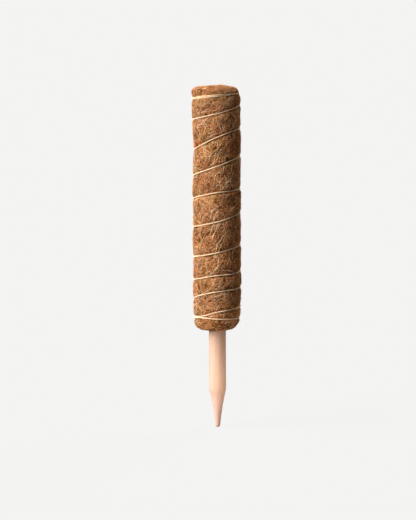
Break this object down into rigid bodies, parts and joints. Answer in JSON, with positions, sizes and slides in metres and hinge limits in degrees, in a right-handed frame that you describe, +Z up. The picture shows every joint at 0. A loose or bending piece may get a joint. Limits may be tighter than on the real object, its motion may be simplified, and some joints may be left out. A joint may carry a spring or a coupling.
{
  "type": "moss pole",
  "caption": "Stackable coir moss pole: a fibre sleeve on a hollow core, bound with a spiral of twine, on a pointed wooden stake, for climbing plants in pots.",
  "frame": {"origin": "on the pole's axis at the soil line, where the stake leaves the underside of the sleeve", "axes": "+Z up along the pole, from the stake's point to the open top; -Y faces the camera of the picture; +X to its right"},
  "size_m": [0.0573, 0.0625, 0.402],
  "materials": {
    "stake_wood": "satin",
    "core_wood": "matte",
    "coir": "matte",
    "twine": "matte"
  },
  "bodies": {
    "root": {"stake": "stake_wood", "core_tube": "core_wood", "coir_sleeve": "coir", "binding_twine": "twine", "lower_knot": "twine", "upper_knot": "twine"}
  },
  "joints": []
}
